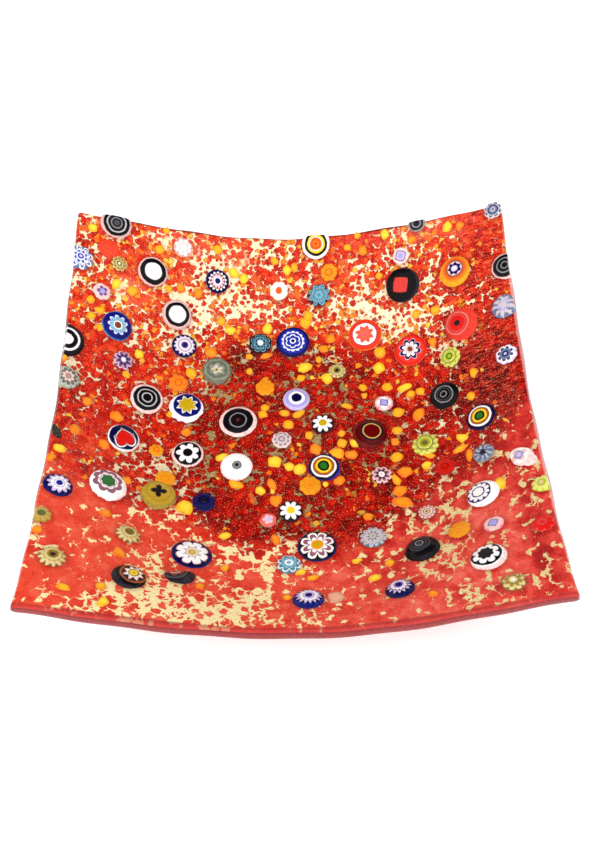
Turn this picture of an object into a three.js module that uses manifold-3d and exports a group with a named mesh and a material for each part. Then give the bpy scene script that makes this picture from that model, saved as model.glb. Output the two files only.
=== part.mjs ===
// A square bowl of fused art glass: slices of patterned cane (murrine) bedded in red glass frit,
// over metal leaf, on a red glass plate.
//
// The glassmaker lays the pieces up flat and then lets the whole stack sag into a mould, and the model
// is made the same way. Every piece is first built flat, in sheet coordinates: u to the right, v to the
// back and w up through the stack, all from the middle of the plate's underside. slump() then bends it
// into the bowl. Millimetres, +Z up, origin in the middle of the flat underside, front edge towards -Y.

import * as THREE from 'three';
import { mergeVertices } from 'three/addons/utils/BufferGeometryUtils.js';
import Module from 'manifold-3d';

// The flat sheet and the layers that it is laid up from.
const SHEET_SIDE = 200;
const BASE_THICKNESS = 2.3;
const LEAF_THICKNESS = 0.2;
const FRIT_THICKNESS = 0.9;
const GAP = 0.3;
const LEAF_FLOOR = BASE_THICKNESS + GAP;
const FRIT_FLOOR = LEAF_FLOOR + LEAF_THICKNESS + GAP;
const SHEET_THICKNESS = FRIT_FLOOR + FRIT_THICKNESS;

// Cane slices are bedded a little above the frit's underside, which keeps them clear of the leaf where
// the sheet bends.
const CANE_FLOOR = FRIT_FLOOR + GAP;
const CANE_DEPTH = SHEET_THICKNESS - CANE_FLOOR;

// The bowl's section, as the rise per millimetre walked outwards over the inner face. It is flat in the
// middle, turns up to the wall's full slope, and eases off again towards the corners.
const FLAT_REACH = 26;
const WALL_REACH = 90;
const WALL_RISE = 0.6;
const WALL_EASING = 0.0057;
const SECTION_STEP = 0.5;
const SECTION_REACH = 170;

// How finely the pieces are faceted.
const SHEET_CELLS = 18;
const SMALL_CANE_SIDES = 10;
const LARGE_CANE_SIDES = 12;
const LARGE_CANE_RADIUS = 5.5;

// The shape of a slice of cane: straight sides, then a rounded shoulder under a low dome.
const CANE_HEIGHT = 1.9;
const SMALL_CANE_HEIGHT = 1.5;
const SIDE_SHARE = 0.4;
const SHOULDER_SHARE = 0.85;
const SHOULDER_RADIUS_SHARE = 0.78;
const CUTTER_OVERSHOOT = 2;

// Colours of the glass, by the name of what they colour.
const RED_GLASS = 0xb8201a;
const GOLD_LEAF = 0xd8b866;
const FRIT_RED = 0xc4200f;

// Every slice of cane: node name, place on the flat sheet (u, v), radius, colour of its outer glass.
const CANES = [
  ['grey_rings_1', -82, 96.5, 6.5, 0x2a2c30],
  ['blue_pinwheel', -97, 76.5, 6, 0x8fa3dc],
  ['black_hoop_1', -64.3, 77.5, 7, 0xe8b8b4],
  ['pale_flower', -50.8, 91, 4.6, 0xe9c9c9],
  ['pink_gear_1', -34.3, 78, 5.6, 0x1c1d4a],
  ['black_hoop_2', -52, 60.3, 7, 0xe8b8b4],
  ['turquoise_gear', -78.3, 48.8, 6.8, 0x2a5fae],
  ['pink_gear_2', -47.8, 46.5, 5.6, 0x1b1f63],
  ['bold_rings', -99.5, 35.5, 8, 0x101114],
  ['sage_flower', -97, 17.5, 5.6, 0x8b8f7e],
  ['smoke_dome', -33, 36, 6.6, 0x7d8078],
  ['grey_rings_2', -62.3, 18.3, 7.2, 0xe2a39b],
  ['gold_star', -45.3, 16.4, 7.4, 0xf2ecec],
  ['grey_rings_3', -23.2, 9.8, 8, 0xe2a39b],
  ['teal_flower_1', -14.2, 50.3, 5.2, 0x20343c],
  ['heart', -70.2, -3.2, 6.8, 0xe9c9cf],
  ['royal_gear', 0.3, 50.9, 7.6, 0x0c1050],
  ['yellow_rings', 12.2, 96, 6.8, 0xf2ecea],
  ['teal_flower_2', 12.6, 72.8, 5.3, 0x5f9aa8],
  ['red_square', 51.5, 72, 8, 0x1d1c28],
  ['navy_star', 75.8, 72, 7, 0xf09a3c],
  ['grey_rings_4', 98.3, 67.8, 6.2, 0x2b2d33],
  ['red_star', 32.4, 52.2, 7.7, 0xf0471f],
  ['red_flower', 52, 41.5, 7.5, 0xe23c20],
  ['red_dome', 75.8, 47.3, 7.6, 0xe2524a],
  ['grey_pinwheel_1', 95.5, 49, 5.6, 0x8e9cb8],
  ['lime_gear_1', 68.8, 34, 5, 0xb9c340],
  ['navy_flower', 93, 26, 4.8, 0xc7cbe0],
  ['lavender_eye', 1.4, 20.8, 5.9, 0xa5a2de],
  ['grey_rings_5', 64.3, 16.7, 6.5, 0x101012],
  ['daisy_1', 12.2, 7.8, 5, 0x1b1a1c],
  ['ruby_ring', 31.6, 2.4, 7.4, 0x7a0a08],
  ['rainbow_rings_1', 78.2, 1.2, 6.4, 0x12186a],
  ['black_daisy', -43.5, -6.5, 6.6, 0xf0c8c0],
  ['white_eye', -23.5, -12.5, 6.7, 0xf4f1f0],
  ['olive_cross', -54, -28, 7.2, 0xb79a36],
  ['green_flower', -74.2, -29.1, 7.9, 0xf3eeec],
  ['midnight_flower', -35.9, -29.2, 4.8, 0x0a0b45],
  ['blue_gear', -93.2, -37.3, 5.9, 0x141a78],
  ['daisy_2', -1.6, -33.6, 5, 0x1b1a1c],
  ['olive_gear_1', -64, -52.3, 5.1, 0xc0a24c],
  ['olive_gear_2', -89.8, -74.2, 5.3, 0xc0a24c],
  ['navy_blossom_1', -39.4, -56.8, 7.9, 0x1a1c48],
  ['amber_star', -61.8, -77, 6.6, 0x2c1a18],
  ['broken_half', -43.6, -69.6, 6.2, 0x36302f],
  ['teal_flower_3', -2.4, -59, 4.9, 0x4f8ea8],
  ['rainbow_rings_2', 12.2, -13.6, 6.6, 0x12186a],
  ['lime_gear_2', 54, -5.2, 5.8, 0xb9c340],
  ['grey_pinwheel_2', 77, -17, 4.8, 0x7f8fa8],
  ['navy_blossom_2', 8.4, -50.6, 7.6, 0x1a1c48],
  ['frost_flower', 30, -47.7, 5.3, 0xb9b0ae],
  ['white_gear', 74.5, -37.8, 6.9, 0xf3eeec],
  ['tall_dome', 48.2, -58.6, 6.9, 0x15151c],
  ['black_gear', 72.4, -73.3, 6.9, 0xf0dede],
  ['lavender_gear_1', 4.6, -79.8, 6.2, 0x1b2372],
  ['lavender_gear_2', 38.6, -80, 5.9, 0x1b1d58],
  ['olive_flower', 79, -89, 4.7, 0xa9a04e],
];

// One slice is deeper than the rest, and one broke in two along a line through its middle.
const TALL_CANE = { name: 'tall_dome', height: 3.4 };
const BROKEN_CANE = { name: 'broken_half', breakAngle: THREE.MathUtils.degToRad(16) };

const wasm = await Module();
wasm.setup();

// Rise per millimetre at a walked distance from the middle.
function riseAt(walked) {
  const turn = THREE.MathUtils.smoothstep(walked, FLAT_REACH, WALL_REACH);
  const easing = 1 - WALL_EASING * Math.max(walked - WALL_REACH, 0);
  return WALL_RISE * turn * easing;
}

// The section as plan radius and height against the walked distance, summed step by step.
function bowlSection() {
  const radii = [0];
  const heights = [0];
  for (let step = 1; step * SECTION_STEP <= SECTION_REACH; step += 1) {
    const rise = riseAt((step - 0.5) * SECTION_STEP);
    radii.push(radii[step - 1] + SECTION_STEP * Math.sqrt(1 - rise * rise));
    heights.push(heights[step - 1] + SECTION_STEP * rise);
  }
  return { radii, heights };
}

const SECTION = bowlSection();

function alongSection(values, walked) {
  const place = walked / SECTION_STEP;
  const before = Math.floor(place);
  return THREE.MathUtils.lerp(values[before], values[before + 1], place - before);
}

// A point of the flat stack, carried into the bowl. The inner face keeps its lengths along the section.
function slump(point) {
  const walked = Math.hypot(point.x, point.y);
  const heading = new THREE.Vector2(point.x, point.y).normalize();
  const rise = riseAt(walked);
  const depth = point.z - SHEET_THICKNESS;
  const radius = alongSection(SECTION.radii, walked) - rise * depth;
  const height = alongSection(SECTION.heights, walked) + Math.sqrt(1 - rise * rise) * depth;
  return point.set(heading.x * radius, heading.y * radius, SHEET_THICKNESS + height);
}

// A geometry with its shared corners merged, as a solid. Triangles that close up at a pole are left out.
function toSolid(geometry) {
  const bare = geometry.clone();
  bare.deleteAttribute('normal');
  bare.deleteAttribute('uv');
  const merged = mergeVertices(bare, 1e-5);
  const corners = [];
  for (let i = 0; i < merged.index.count; i += 3) {
    const [a, b, c] = [0, 1, 2].map((k) => merged.index.getX(i + k));
    if (a !== b && b !== c && c !== a) {
      corners.push(a, b, c);
    }
  }
  return new wasm.Manifold(new wasm.Mesh({
    numProp: 3,
    vertProperties: new Float32Array(merged.attributes.position.array),
    triVerts: new Uint32Array(corners),
  }));
}

function toGeometry(solid) {
  const mesh = solid.getMesh();
  const geometry = new THREE.BufferGeometry();
  geometry.setAttribute('position', new THREE.BufferAttribute(mesh.vertProperties, 3));
  geometry.setIndex(new THREE.BufferAttribute(mesh.triVerts, 1));
  return geometry;
}

// The same geometry with every corner carried into the bowl.
function slumped(geometry) {
  const bent = geometry.clone();
  const places = bent.attributes.position;
  const point = new THREE.Vector3();
  for (let i = 0; i < places.count; i += 1) {
    slump(point.fromBufferAttribute(places, i));
    places.setXYZ(i, point.x, point.y, point.z);
  }
  return bent;
}

// A flat slab of the sheet's size, with its upper face at the middle level. Both faces are cut into the
// same triangles, and so a thin slab keeps its thickness when it bends.
function slab(thickness) {
  const face = new THREE.PlaneGeometry(SHEET_SIDE, SHEET_SIDE, SHEET_CELLS, SHEET_CELLS);
  const upper = face.attributes.position;
  const lower = face.clone().translate(0, 0, -thickness).attributes.position;
  const below = upper.count;
  const corners = [];
  const openEdges = new Map();
  for (let i = 0; i < face.index.count; i += 3) {
    const [a, b, c] = [0, 1, 2].map((k) => face.index.getX(i + k));
    corners.push(a, b, c, c + below, b + below, a + below);
    for (const [from, to] of [[a, b], [b, c], [c, a]]) {
      if (!openEdges.delete(`${to} ${from}`)) {
        openEdges.set(`${from} ${to}`, [from, to]);
      }
    }
  }
  for (const [from, to] of openEdges.values()) {
    corners.push(from + below, to + below, to, from + below, to, from);
  }
  const whole = new THREE.BufferGeometry();
  whole.setAttribute('position', new THREE.Float32BufferAttribute([...upper.array, ...lower.array], 3));
  whole.setIndex(corners);
  return whole;
}

// A layer of the stack between two levels, bent into the bowl.
function layer(floor, thickness) {
  return slumped(slab(thickness).translate(0, 0, floor + thickness));
}

function turned(profile, radius) {
  const sides = radius > LARGE_CANE_RADIUS ? LARGE_CANE_SIDES : SMALL_CANE_SIDES;
  const points = profile.map(([x, y]) => new THREE.Vector2(x, y));
  return new THREE.LatheGeometry(points, sides).rotateX(Math.PI / 2);
}

function proudHeight(name, radius) {
  if (name === TALL_CANE.name) {
    return TALL_CANE.height;
  }
  return radius > LARGE_CANE_RADIUS ? CANE_HEIGHT : SMALL_CANE_HEIGHT;
}

// A slice of cane, from its bed in the frit to the top of its dome.
function caneSlice(name, radius) {
  const proud = proudHeight(name, radius);
  return turned([
    [0, 0],
    [radius, 0],
    [radius, CANE_DEPTH + SIDE_SHARE * proud],
    [radius * SHOULDER_RADIUS_SHARE, CANE_DEPTH + SHOULDER_SHARE * proud],
    [0, CANE_DEPTH + proud],
  ], radius);
}

// The hole that a slice of cane sits in, as the shape to cut away.
function caneHole(radius) {
  const wide = radius + GAP;
  return turned([
    [0, -CUTTER_OVERSHOOT],
    [wide, -CUTTER_OVERSHOOT],
    [wide, CUTTER_OVERSHOOT],
    [0, CUTTER_OVERSHOOT],
  ], radius);
}

// The half of a broken slice that is kept, plus a clearance beyond the break.
function keepBrokenHalf(geometry, clearance) {
  const reach = 40;
  const away = new THREE.BoxGeometry(reach, reach, reach);
  away.translate(0, reach / 2 + clearance, 0).rotateZ(BROKEN_CANE.breakAngle);
  return toGeometry(toSolid(geometry).subtract(toSolid(away)));
}

// Glass that would hang over the sheet's edge was ground off flush with it.
function groundFlush(geometry) {
  const block = new THREE.BoxGeometry(SHEET_SIDE, SHEET_SIDE, SHEET_SIDE);
  return toGeometry(toSolid(geometry).intersect(toSolid(block)));
}

function placedCane([name, u, v, radius]) {
  const slice = caneSlice(name, radius);
  const whole = name === BROKEN_CANE.name ? keepBrokenHalf(slice, 0) : slice;
  whole.translate(u, v, CANE_FLOOR);
  const overhangs = Math.max(Math.abs(u), Math.abs(v)) + radius > SHEET_SIDE / 2;
  return slumped(overhangs ? groundFlush(whole) : whole);
}

function placedHole([name, u, v, radius]) {
  const hole = caneHole(radius);
  const whole = name === BROKEN_CANE.name ? keepBrokenHalf(hole, GAP) : hole;
  return slumped(whole.translate(u, v, CANE_FLOOR));
}

// The frit layer, with a hole for every slice of cane.
function fritLayer() {
  let solid = toSolid(layer(FRIT_FLOOR, FRIT_THICKNESS));
  for (const cane of CANES) {
    solid = solid.subtract(toSolid(placedHole(cane)));
  }
  return toGeometry(solid);
}

function piece(name, geometry, colour, roughness, metalness) {
  const material = new THREE.MeshStandardMaterial({ color: colour, roughness, metalness });
  const mesh = new THREE.Mesh(geometry, material);
  mesh.name = name;
  return mesh;
}

const bowl = new THREE.Group();
bowl.name = 'art_glass_bowl';
bowl.add(piece('base_plate', layer(0, BASE_THICKNESS), RED_GLASS, 0.12, 0));
bowl.add(piece('metal_leaf', layer(LEAF_FLOOR, LEAF_THICKNESS), GOLD_LEAF, 0.35, 0.9));
bowl.add(piece('red_frit_layer', fritLayer(), FRIT_RED, 0.15, 0));
for (const cane of CANES) {
  bowl.add(piece(`murrina_${cane[0]}`, placedCane(cane), cane[4], 0.12, 0));
}

export default bowl;
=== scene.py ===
"""Looks of the slumped art glass bowl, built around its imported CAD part."""

import math
import zlib

import bpy
import numpy as np
from mathutils import Matrix, Vector


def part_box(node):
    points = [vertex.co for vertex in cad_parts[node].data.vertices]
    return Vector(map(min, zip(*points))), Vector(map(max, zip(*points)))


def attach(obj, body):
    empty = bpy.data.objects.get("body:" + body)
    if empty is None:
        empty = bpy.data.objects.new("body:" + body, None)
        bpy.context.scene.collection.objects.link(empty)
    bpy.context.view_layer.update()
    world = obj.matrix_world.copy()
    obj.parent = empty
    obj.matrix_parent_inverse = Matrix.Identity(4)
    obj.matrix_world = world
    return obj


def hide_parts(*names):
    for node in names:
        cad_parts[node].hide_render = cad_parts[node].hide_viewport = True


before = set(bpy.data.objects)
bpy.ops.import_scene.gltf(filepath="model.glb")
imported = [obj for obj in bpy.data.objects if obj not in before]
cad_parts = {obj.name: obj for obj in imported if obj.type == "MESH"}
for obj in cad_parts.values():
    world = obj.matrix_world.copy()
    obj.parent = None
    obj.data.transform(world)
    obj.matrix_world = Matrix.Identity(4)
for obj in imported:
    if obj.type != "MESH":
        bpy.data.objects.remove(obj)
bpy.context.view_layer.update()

# --- The sheet and how it slumps, in mm in sheet coordinates: u right, v back, w up through the stack.
HALF = 100.0  # half the flat sheet's side
TOP = 4.0  # upper face of the stack
LEAF_LEVEL = 2.9
CANE_FLOOR = 3.4
CHIP_FLOOR = 3.6
FLAT_REACH = 26.0  # how far the middle stays flat
WALL_REACH = 90.0  # where the wall has reached its full slope
WALL_RISE = 0.6
WALL_EASING = 0.0057
STEP = 0.5  # of the walk outwards over which the slope is added up
REACH = 170.0  # the end of that walk, past the corners
MARGIN = 20.0  # noise tables reach this far past the sheet
MM = 0.001


def rise_at(walked):
    t = np.clip((walked - FLAT_REACH) / (WALL_REACH - FLAT_REACH), 0, 1)
    return WALL_RISE * t * t * (3 - 2 * t) * (1 - WALL_EASING * np.maximum(walked - WALL_REACH, 0))


WALKED = np.arange(0, REACH + STEP, STEP)
RISES = rise_at(WALKED[1:] - STEP / 2)
RADII = np.concatenate([[0], np.cumsum(STEP * np.sqrt(1 - RISES ** 2))])
HEIGHTS = np.concatenate([[0], np.cumsum(STEP * RISES)])


def slump(flat):
    """Points (n, 3) of the flat stack in mm, carried into the bowl, in metres."""
    walked = np.hypot(flat[:, 0], flat[:, 1])
    rise = rise_at(walked)
    depth = flat[:, 2] - TOP
    radius = np.interp(walked, WALKED, RADII) - rise * depth
    height = TOP + np.interp(walked, WALKED, HEIGHTS) + np.sqrt(1 - rise ** 2) * depth
    share = np.where(walked > 1e-6, radius / np.maximum(walked, 1e-6), 1.0)
    return np.stack([flat[:, 0] * share, flat[:, 1] * share, height], 1) * MM


def unslump(x, y, level):
    """Sheet coordinates of the plan point (x, y) in metres, for a piece centred on that level."""
    radius = math.hypot(x, y) / MM
    walked = float(np.interp(radius, RADII - rise_at(WALKED) * (level - TOP), WALKED))
    share = walked / max(radius, 1e-6)
    return x / MM * share, y / MM * share


def soft_step(value, start, end):
    t = np.clip((value - start) / (end - start), 0, 1)
    return t * t * (3 - 2 * t)


def rng_for(name):
    return np.random.default_rng(zlib.crc32(name.encode()))


def rows(text):
    """The rows of a table of numbers, with semicolons between them."""
    return [tuple(map(float, row.split())) for row in text.split(";")]


# --- Smooth noise on the sheet, for relief.
def lattice(u, v, size, border):
    """How many cells of that size cover the sheet, and where each point lies among them."""
    cells = int(math.ceil(2 * (HALF + MARGIN) / size)) + 3 + 2 * border
    a, b = (u + HALF + MARGIN) / size + border, (v + HALF + MARGIN) / size + border
    return cells, a, b, np.floor(a).astype(int), np.floor(b).astype(int)


def value_noise(u, v, size, seed):
    """Smooth noise from 0 to 1 with features of that size in mm."""
    cells, a, b, i, j = lattice(u, v, size, 0)
    table = np.random.default_rng(seed).random((cells, cells))
    s, t = a - i, b - j
    s, t = s * s * (3 - 2 * s), t * t * (3 - 2 * t)
    return ((table[j, i] * (1 - s) + table[j, i + 1] * s) * (1 - t)
            + (table[j + 1, i] * (1 - s) + table[j + 1, i + 1] * s) * t)


def granules(u, v, size, seed):
    """Distance to the nearest of scattered granule middles, as a share of the granule size."""
    cells, a, b, i, j = lattice(u, v, size, 1)
    jitter = np.random.default_rng(seed).random((cells, cells, 2))
    best = np.full(u.shape, 9.0)
    for di in (-1, 0, 1):
        for dj in (-1, 0, 1):
            away = jitter[j + dj, i + di]
            best = np.minimum(best, np.hypot(a - (i + di + away[..., 0]), b - (j + dj + away[..., 1])))
    return best


# --- Node helpers.
def rgb(red, green, blue):
    """A colour as read in sRGB, 0 to 255, as a linear RGBA."""
    def linear(c):
        c = c / 255
        return c / 12.92 if c <= 0.04045 else ((c + 0.055) / 1.055) ** 2.4
    return (linear(red), linear(green), linear(blue), 1.0)


def tones(text):
    """Stops of a colour ramp: place and sRGB colour of each."""
    return [(at, rgb(*colour)) for at, *colour in rows(text)]


class Net:
    """A node tree that is written like a formula: a value is a number, a tuple or another node's socket."""

    def __init__(self, tree):
        self.tree = tree

    def add(self, kind, inputs=None, out=0, **props):
        node = self.tree.nodes.new(kind)
        for key, value in props.items():
            setattr(node, key, value)
        for key, value in (inputs or {}).items():
            self.put(node.inputs[key], value)
        return node if out is None else node.outputs[out]

    def put(self, socket, value):
        if isinstance(value, bpy.types.NodeSocket):
            self.tree.links.new(value, socket)
        else:
            socket.default_value = value

    def attribute(self, name):
        return self.add("ShaderNodeAttribute", attribute_name=name, out=1)

    def split(self, vector):
        return self.add("ShaderNodeSeparateXYZ", {0: vector}, out=None).outputs

    def math(self, operation, a, b=0.0, c=0.0):
        return self.add("ShaderNodeMath", {0: a, 1: b, 2: c}, operation=operation)

    def plus(self, a, b):
        return self.math("ADD", a, b)

    def minus(self, a, b):
        return self.math("SUBTRACT", a, b)

    def times(self, a, b):
        return self.math("MULTIPLY", a, b)

    def nudge(self, value, by, share, middle=0.5):
        """The value, plus that share of how far another one is past its middle."""
        return self.math("MULTIPLY_ADD", self.minus(by, middle), share, value)

    def vector(self, operation, a, b=(0, 0, 0), out=0):
        return self.add("ShaderNodeVectorMath", {0: a, 1: b}, out=out, operation=operation)

    def moved(self, place, by, scale):
        """The place, moved by so much of a vector."""
        far = self.add("ShaderNodeVectorMath", {0: by, 3: scale}, operation="SCALE")
        return self.vector("ADD", place, far)

    def step(self, value, start, end, low=0.0, high=1.0):
        """Smoothly from low to high as value goes from start to end."""
        return self.add("ShaderNodeMapRange", {"Value": value, 1: start, 2: end, 3: low, 4: high},
                        interpolation_type="SMOOTHSTEP")

    def step_at(self, value, at, before, after):
        """Smoothly from 0 to 1 around another value."""
        return self.step(value, self.plus(at, before), self.plus(at, after))

    def mix(self, share, a, b, blend="MIX"):
        return self.add("ShaderNodeMix", {0: share, 6: a, 7: b}, out=2, data_type="RGBA", blend_type=blend)

    def darken(self, share, colour, by):
        return self.mix(share, colour, by, "MULTIPLY")

    def noise(self, place, scale, detail=2.0, rough=0.5, out=0):
        inputs = {"Vector": place, "Scale": scale, "Detail": detail, "Roughness": rough}
        return self.add("ShaderNodeTexNoise", inputs, out=out)

    def shake(self, place, scale, detail=2.0, rough=0.5):
        """A smoothly changing offset around zero, to bend a pattern with."""
        return self.vector("SUBTRACT", self.noise(place, scale, detail, rough, out=1), (0.5, 0.5, 0.5))

    def voronoi(self, place, scale, feature="F1", out=0):
        return self.add("ShaderNodeTexVoronoi", {"Vector": place, "Scale": scale}, out=out, feature=feature)

    def cell_tones(self, cells):
        """Three values of its own for each cell, from the cell's colour."""
        return self.add("ShaderNodeSeparateColor", {0: cells}, out=None).outputs

    def ramp(self, value, stops):
        node = self.add("ShaderNodeValToRGB", {0: value}, out=None)
        elements = node.color_ramp.elements
        while len(elements) < len(stops):
            elements.new(0.5)
        for element, (at, colour) in zip(elements, stops):
            element.position = at
            element.color = colour
        return node.outputs[0]


def new_material(name):
    material = bpy.data.materials.new(name)
    material.use_nodes = True
    tree = material.node_tree
    tree.nodes.clear()
    net = Net(tree)
    shader = net.add("ShaderNodeBsdfPrincipled", out=None)
    net.add("ShaderNodeOutputMaterial", {0: shader.outputs[0]}, out=None)
    return material, net, shader


def finish(net, shader, sockets, height=None, strength=0.4, distance=0.0002):
    """Fills the shader's sockets, and gives it a bump from that height."""
    for name, value in sockets.items():
        net.put(shader.inputs[name], value)
    if height is not None:
        bump = net.add("ShaderNodeBump", {"Strength": strength, "Distance": distance, "Height": height})
        net.put(shader.inputs["Normal"], bump)


def finish_glass(net, shader, colour, roughness, specular, *bump):
    finish(net, shader, {"Base Color": colour, "Roughness": roughness, "IOR": 1.5,
                         "Specular IOR Level": specular}, *bump)


# --- Cane patterns.
def new_group(name, inputs):
    """A node group from a place and some numbers to the share inside, with its net and its inputs."""
    tree = bpy.data.node_groups.new(name, "ShaderNodeTree")
    tree.interface.new_socket("Place", in_out="INPUT", socket_type="NodeSocketVector")
    for key, value in inputs.items():
        tree.interface.new_socket(key, in_out="INPUT", socket_type="NodeSocketFloat").default_value = value
    tree.interface.new_socket("Inside", in_out="OUTPUT", socket_type="NodeSocketFloat")
    net = Net(tree)
    given = net.add("NodeGroupInput", out=None).outputs
    return tree, net, given, net.split(given["Place"])


def outline_group():
    """Node group: how far a place on a slice of cane is inside a ring, gear, star or flower outline."""
    tree, net, given, (x, y, _) = new_group("cane_outline", {
        "Radius": 1.0, "Petals": 0.0, "Depth": 0.0, "Power": 2.0, "Turn": 0.0, "Twist": 0.0, "Soft": 0.12})
    away = net.vector("LENGTH", net.add("ShaderNodeCombineXYZ", {0: x, 1: y}), out=1)
    angle = net.plus(net.math("ARCTAN2", y, x), given["Turn"])
    angle = net.math("MULTIPLY_ADD", away, given["Twist"], angle)
    lobe = net.math("FRACT", net.times(net.times(angle, given["Petals"]), 0.5 / math.pi))
    notch = net.times(net.math("ABSOLUTE", net.minus(lobe, 0.5)), 2.0)
    cut = net.times(net.math("POWER", notch, given["Power"]), given["Depth"])
    edge = net.times(given["Radius"], net.minus(1.0, cut))
    inside = net.step(away, net.plus(edge, given["Soft"]), net.minus(edge, given["Soft"]))
    net.add("NodeGroupOutput", {"Inside": inside}, out=None)
    return tree


def heart_group():
    """Node group: the same for a heart."""
    tree, net, given, (across, up, _) = new_group("cane_heart", {"Radius": 1.0})
    x = net.math("DIVIDE", across, given["Radius"])
    y = net.math("DIVIDE", up, given["Radius"])
    xx, yy = net.times(x, x), net.times(y, y)
    disc = net.minus(net.plus(xx, yy), 1.0)
    cube = net.times(disc, net.times(disc, disc))
    heart = net.minus(cube, net.times(xx, net.times(yy, y)))
    net.add("NodeGroupOutput", {"Inside": net.step(heart, 0.03, -0.03)}, out=None)
    return tree


OUTLINE = outline_group()
HEART = heart_group()
LINE_SOFTNESS = 0.14  # mm
USUAL_LOBES = [0.0, 0.3, 2.5, 0.0, 0.0]  # count, depth, power, turn and twist

GLASS = {name: rgb(*map(float, colour)) for name, *colour in map(str.split, """
black 14 12 16, ink 30 26 34, navy 16 18 92, midnight 10 8 60, royal 28 44 170, blue 60 96 190,
teal 70 130 150, aqua 120 178 200, white 248 246 244, cream 250 238 214, blush 240 196 192,
rose 226 150 146, veil 200 160 157, pink 222 120 130, grey 128 128 130, pale_grey 190 190 190,
dark_grey 70 70 74, smoke 100 106 90, coral 236 88 58, bronze 132 92 32, honey 216 172 92,
carmine 210 62 54, lavender 166 160 222, lilac 206 190 226, violet 110 80 140, gold 196 160 20,
yellow 246 206 40, amber 232 150 24, orange 240 130 30, tangerine 244 90 24, red 214 26 24,
scarlet 232 52 30, ruby 98 4 4, maroon 56 4 7, salmon 238 96 84, brown 120 60 40, rust 170 84 30,
mauve 150 92 110, lime 172 182 44, pale_lime 222 222 120, olive 150 128 44, tan 190 160 80,
sand 214 196 140, green 40 110 40, sage 140 144 122, moss 96 100 50, plum 60 30 60, steel 96 112 146,
peach 240 172 142, frost 200 190 194, crimson 170 14 8, garnet 196 28 18, golden 186 150 44, berry 120 40 60
""".split(","))}


def read_layers(text):
    """Layers from the outside in: glass, radius in mm, then for lobes the numbers that USUAL_LOBES names.

    Usual numbers may be left off at the end. A heart has its glass, radius and turn.
    """
    layers = []
    for words in map(str.split, text.split(",")):
        is_heart = words[0] == "heart"
        glass, *numbers = words[1:] if is_heart else words
        numbers = [float(number) for number in numbers]
        if len(numbers) > 1 and not is_heart:
            numbers += USUAL_LOBES[len(numbers) - 1:]
        layers.append((is_heart, GLASS[glass], numbers))
    return layers


def read_canes(text):
    """Slices of cane by name: radius, body glass, slot, what is unusual, and their layers after the colon.

    Returns what each says by key.
    """
    canes = {}
    for entry in text.split(";"):
        head, layers = entry.split(":")
        name, radius, body, slot, *more = head.split()
        spec = canes[name] = dict(radius=float(radius), body=GLASS[body], slot=slot + "_glass",
                                  layers=read_layers(layers))
        for word in more:
            key, values = word.split("=")
            values = tuple(map(float, values.split(",")))
            spec[key] = values if len(values) > 1 else values[0]
    return canes


def cane_material(name, spec, wobble):
    """The glass of one slice of cane: its layers drawn over the body's glass."""
    material, net, shader = new_material("glass_" + name)
    place = net.attribute("cane")
    seed = tuple(float(x) for x in rng_for("glass " + name).uniform(-50, 50, 3))
    moved = net.vector("ADD", place, seed)
    bent = net.moved(place, net.shake(moved, 0.28, 1.0), 2.2 * wobble)
    bent = net.moved(bent, net.shake(moved, 1.1), 0.9 * wobble)
    bent = net.vector("SUBTRACT", bent, (*spec.get("centre", (0, 0)), 0))
    mottle = net.noise(moved, 0.9, 3.0, 0.6)
    deep = spec["body"]
    light = tuple(min(1.0, 0.012 + 1.35 * c) for c in deep[:3]) + (1.0,)
    colour = net.mix(net.step(mottle, 0.3, 0.7), deep, light)
    for is_heart, glass, numbers in spec["layers"]:
        if is_heart:
            radius, turn = numbers
            turned = net.add("ShaderNodeVectorRotate", {"Vector": bent, "Angle": math.radians(turn)},
                             rotation_type="Z_AXIS")
            inside = net.add("ShaderNodeGroup", {"Place": turned, "Radius": radius}, node_tree=HEART)
        else:
            inputs = dict(zip(("Radius", "Petals", "Depth", "Power", "Turn", "Twist"), numbers))
            inputs["Turn"] = math.radians(inputs.get("Turn", 0.0))
            inputs.update(Place=bent, Soft=LINE_SOFTNESS)
            inside = net.add("ShaderNodeGroup", inputs, node_tree=OUTLINE)
        colour = net.mix(inside, colour, glass)
    streak = net.noise(net.vector("MULTIPLY", moved, (1.0, 1.0, 0.2)), 2.3, 2.0, 0.6)
    colour = net.mix(net.step(streak, 0.4, 0.8, 0.0, 0.3), colour, rgb(255, 236, 230), "SOFT_LIGHT")
    colour = net.darken(net.step(mottle, 0.5, 0.25, 0.0, 0.3), colour, rgb(150, 120, 128))
    finish_glass(net, shader, colour, 0.09, 0.14, net.noise(moved, 0.5))
    return material


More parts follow.
